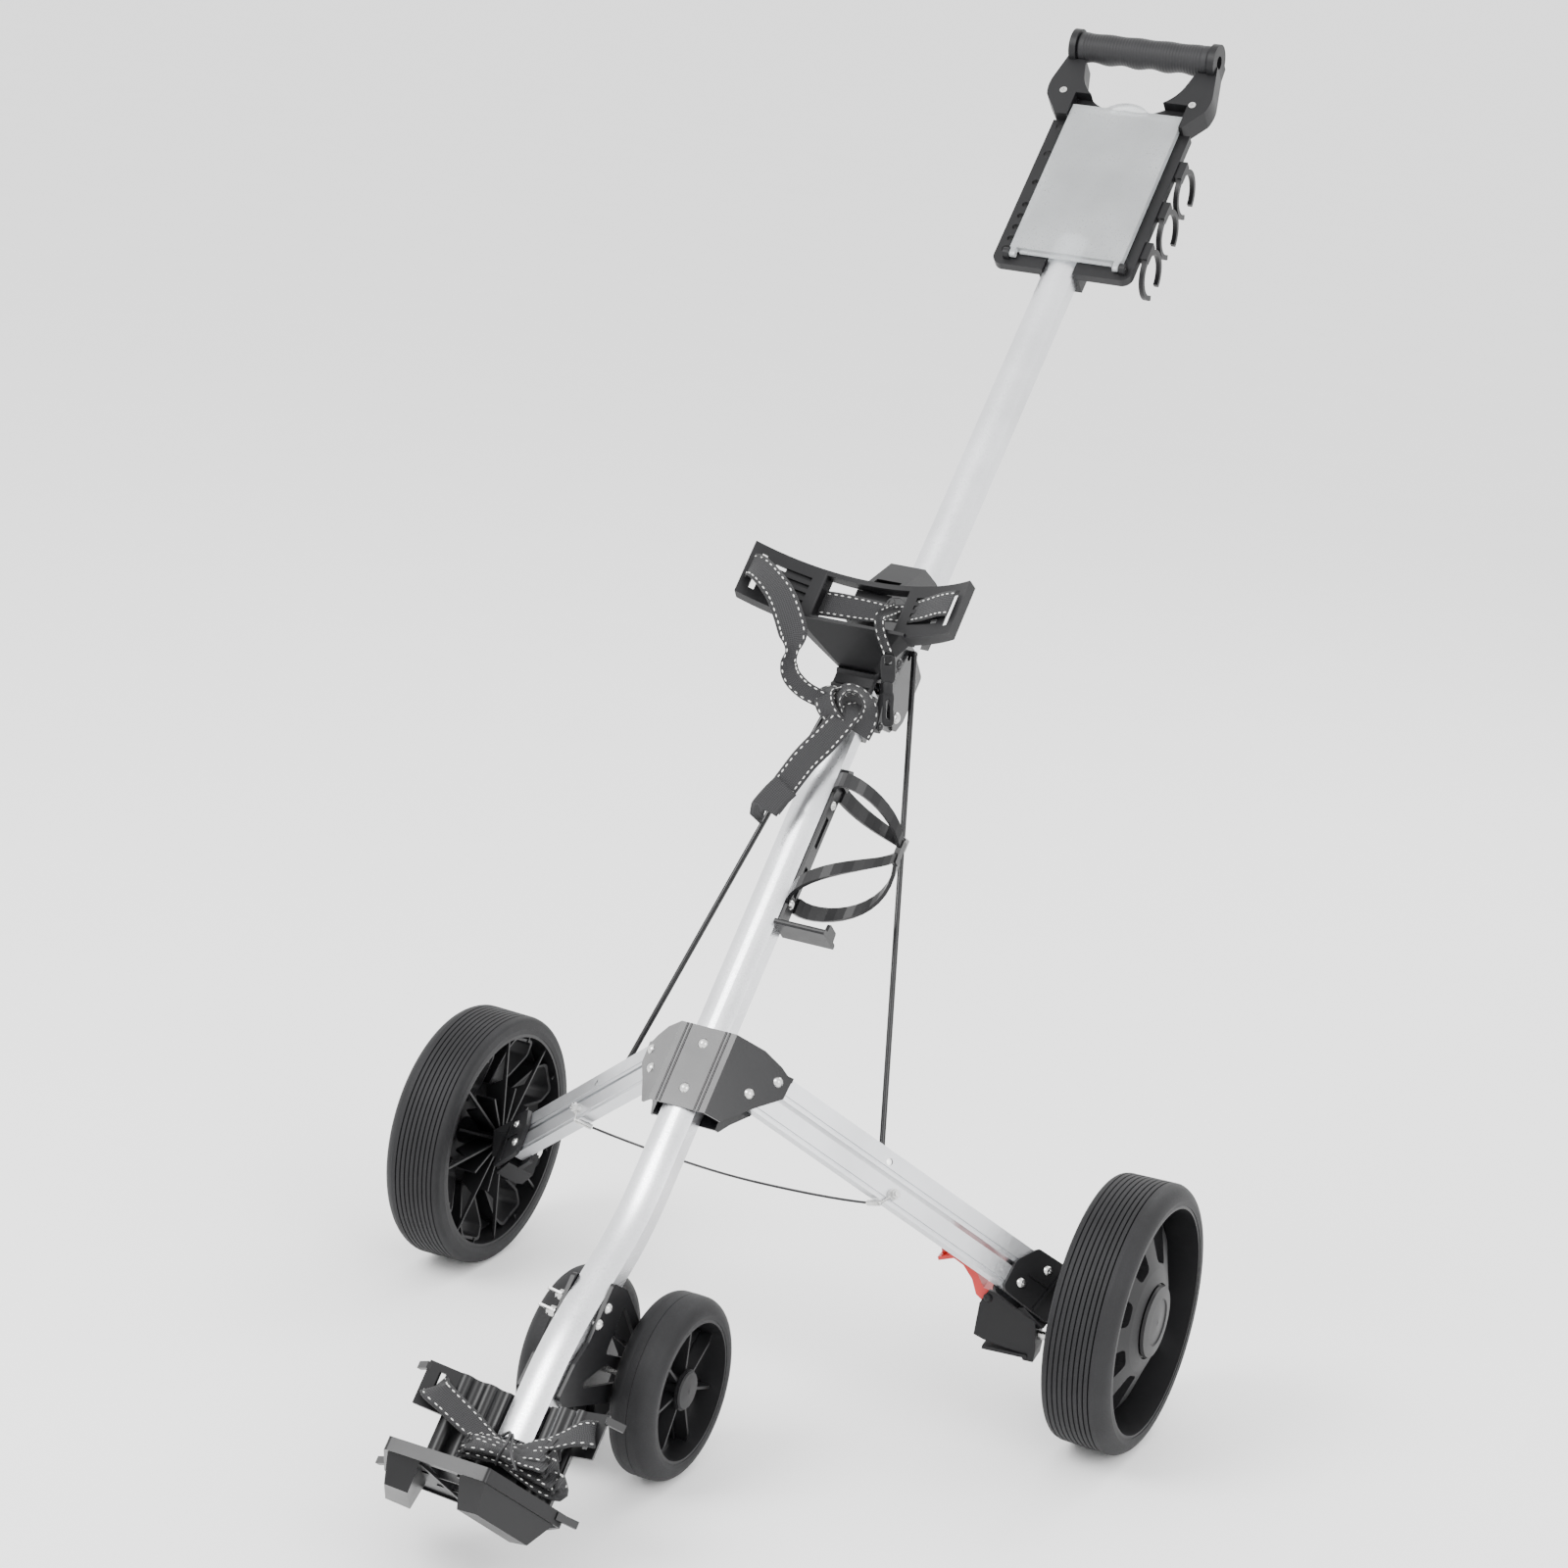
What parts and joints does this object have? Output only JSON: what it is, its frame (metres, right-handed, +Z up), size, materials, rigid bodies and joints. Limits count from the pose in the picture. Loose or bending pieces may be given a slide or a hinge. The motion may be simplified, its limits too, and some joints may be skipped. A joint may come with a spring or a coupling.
{
  "type": "golf push trolley",
  "caption": "Folding golf push trolley: two-part tube, bag cradle and foot, folding side legs with wheels, twin front wheels, cup cage, scorecard board and loop handle.",
  "frame": {"origin": "on the ground under the middle of the trolley's outline", "axes": "+X across to the trolley's right seen from the foot end, +Y back to the person pushing, +Z up"},
  "size_m": [0.7206, 1.1969, 1.1796],
  "materials": {
    "anodised_tube": "satin anodised",
    "black_steel": "gloss powder coat",
    "bar": "satin anodised",
    "zinc": "zinc plated",
    "black_plastic": "fine moulded texture",
    "gloss_black": "gloss",
    "tyre": "matte foam",
    "grip_rubber": "matte",
    "red_plastic": "satin",
    "clear_lid": "frosted translucent plastic",
    "webbing": "woven webbing with pale stitching",
    "cable": "plastic coated wire rope"
  },
  "bodies": {
    "frame": {"lower_tube": "anodised_tube", "centre_bracket_front": "black_steel", "centre_bracket_back": "black_steel", "bracket_rivets": "zinc", "front_fork": "gloss_black", "fork_bolts": "zinc", "front_axle": "zinc", "foot_back_plate": "gloss_black", "foot_tray": "gloss_black", "foot_strap": "webbing", "bottle_cage": "gloss_black", "cage_screws": "zinc", "hinge_bracket": "black_steel", "hinge_pin": "zinc", "safety_cable": "cable"},
    "mast": {"upper_tube": "anodised_tube", "hinge_plates": "black_steel", "hinge_block": "black_plastic", "cradle": "black_plastic", "cradle_clamp": "black_plastic", "cradle_strap": "webbing", "strap_tail": "webbing", "strap_buckle": "black_plastic", "console_board": "black_plastic", "lid_pins": "zinc", "ball_clips": "black_plastic", "handle_frame": "black_plastic", "handle_screws": "zinc", "handle_grip": "grip_rubber"},
    "latch": {"latch_lever": "black_plastic"},
    "lid": {"console_lid": "clear_lid"},
    "right_upper_leg": {"right_upper_bar": "bar", "right_rod_pin": "zinc"},
    "left_upper_leg": {"left_upper_bar": "bar", "left_rod_pin": "zinc"},
    "right_lower_leg": {"right_lower_bar": "bar", "right_cable_end": "zinc"},
    "left_lower_leg": {"left_lower_bar": "bar", "left_cable_end": "zinc"},
    "right_bracket": {"right_wheel_bracket": "black_plastic", "right_wheel_pins": "zinc", "brake_housing": "black_plastic"},
    "left_bracket": {"left_wheel_bracket": "black_plastic", "left_wheel_pins": "zinc"},
    "right_wheel": {"right_wheel_tyre": "tyre", "right_wheel_hub": "black_plastic", "right_wheel_cap": "black_plastic"},
    "left_wheel": {"left_wheel_tyre": "tyre", "left_wheel_hub": "black_plastic", "left_wheel_cap": "black_plastic"},
    "right_front_wheel": {"right_front_tyre": "tyre", "right_front_hub": "black_plastic"},
    "left_front_wheel": {"left_front_tyre": "tyre", "left_front_hub": "black_plastic"},
    "right_rod": {"right_push_rod": "black_steel"},
    "left_rod": {"left_push_rod": "black_steel"},
    "pedal": {"brake_pedal": "red_plastic"},
    "pin": {"brake_pin": "zinc"}
  },
  "joints": [
    {"name": "mast_fold", "type": "hinge", "parent": "frame", "child": "mast", "pos_m": [0, 0.08178, 0.58162], "axis": [-1, 0, 0], "range_deg": [0, 146]},
    {"name": "latch_turn", "type": "hinge", "parent": "frame", "child": "latch", "pos_m": [0.022, 0.0337, 0.58314], "axis": [1, 0, 0], "range_deg": [0, 24]},
    {"name": "lid_open", "type": "hinge", "parent": "mast", "child": "lid", "pos_m": [0, 0.4039, 0.9701], "axis": [1, 0, 0], "range_deg": [0, 105]},
    {"name": "right_leg_fold", "type": "hinge", "parent": "frame", "child": "right_lower_leg", "pos_m": [0.0414, -0.19925, 0.30889], "axis": [-0.729, 0.5154, -0.4505], "range_deg": [0, 56.94], "deforming": ["safety_cable"]},
    {"name": "left_leg_fold", "type": "hinge", "parent": "frame", "child": "left_lower_leg", "pos_m": [-0.0414, -0.19925, 0.30889], "axis": [-0.729, -0.5154, 0.4505], "range_deg": [0, 56.94]},
    {"name": "right_upper_fold", "type": "hinge", "parent": "frame", "child": "right_upper_leg", "pos_m": [0.05529, -0.17396, 0.31534], "axis": [-0.729, 0.5154, -0.4505], "range_deg": [0, 56.94]},
    {"name": "left_upper_fold", "type": "hinge", "parent": "frame", "child": "left_upper_leg", "pos_m": [-0.05529, -0.17396, 0.31534], "axis": [-0.729, -0.5154, 0.4505], "range_deg": [0, 56.94]},
    {"name": "right_bracket_turn", "type": "hinge", "parent": "right_lower_leg", "child": "right_bracket", "pos_m": [0.2464, -0.05284, 0.1447], "axis": [-0.729, 0.5154, -0.4505], "range_deg": [-56.94, 0]},
    {"name": "left_bracket_turn", "type": "hinge", "parent": "left_lower_leg", "child": "left_bracket", "pos_m": [-0.2464, -0.05284, 0.1447], "axis": [-0.729, -0.5154, 0.4505], "range_deg": [-56.94, 0]},
    {"name": "right_rod_turn", "type": "hinge", "parent": "right_upper_leg", "child": "right_rod", "pos_m": [0.13261, -0.10848, 0.24317], "axis": [0.6415, -0.6373, 0.4269], "range_deg": [0, 42.26]},
    {"name": "left_rod_turn", "type": "hinge", "parent": "left_upper_leg", "child": "left_rod", "pos_m": [-0.13261, -0.10848, 0.24317], "axis": [0.6415, 0.6373, -0.4269], "range_deg": [0, 42.26]},
    {"name": "right_wheel_spin", "type": "hinge", "parent": "right_bracket", "child": "right_wheel", "pos_m": [0.3295, 0.0037, 0.1205], "axis": [1, 0, 0], "continuous": true},
    {"name": "left_wheel_spin", "type": "hinge", "parent": "left_bracket", "child": "left_wheel", "pos_m": [-0.3295, 0.0037, 0.1205], "axis": [1, 0, 0], "continuous": true},
    {"name": "right_front_spin", "type": "hinge", "parent": "frame", "child": "right_front_wheel", "pos_m": [0.0445, -0.2928, 0.079], "axis": [1, 0, 0], "continuous": true},
    {"name": "left_front_spin", "type": "hinge", "parent": "frame", "child": "left_front_wheel", "pos_m": [-0.0445, -0.2928, 0.079], "axis": [1, 0, 0], "continuous": true},
    {"name": "brake_press", "type": "hinge", "parent": "right_bracket", "child": "pedal", "pos_m": [0.222, -0.0423, 0.126], "axis": [0.1392, -0.9903, 0], "range_deg": [0, 26]},
    {"name": "brake_slide", "type": "slide", "parent": "right_bracket", "child": "pin", "axis": [0.9903, 0.1392, 0], "range_m": [0, 0.0122]}
  ],
  "couplings": [
    {"joint": "right_leg_fold", "follows": "mast_fold", "ratio": 0.38658},
    {"joint": "left_leg_fold", "follows": "mast_fold", "ratio": 0.38658},
    {"joint": "right_upper_fold", "follows": "mast_fold", "ratio": 0.38658},
    {"joint": "left_upper_fold", "follows": "mast_fold", "ratio": 0.38658},
    {"joint": "right_bracket_turn", "follows": "mast_fold", "ratio": -0.38658},
    {"joint": "left_bracket_turn", "follows": "mast_fold", "ratio": -0.38658},
    {"joint": "right_rod_turn", "follows": "mast_fold", "ratio": 0.28661},
    {"joint": "left_rod_turn", "follows": "mast_fold", "ratio": 0.28661},
    {"joint": "brake_slide", "follows": "brake_press", "m_per_rad": 0.026444}
  ]
}
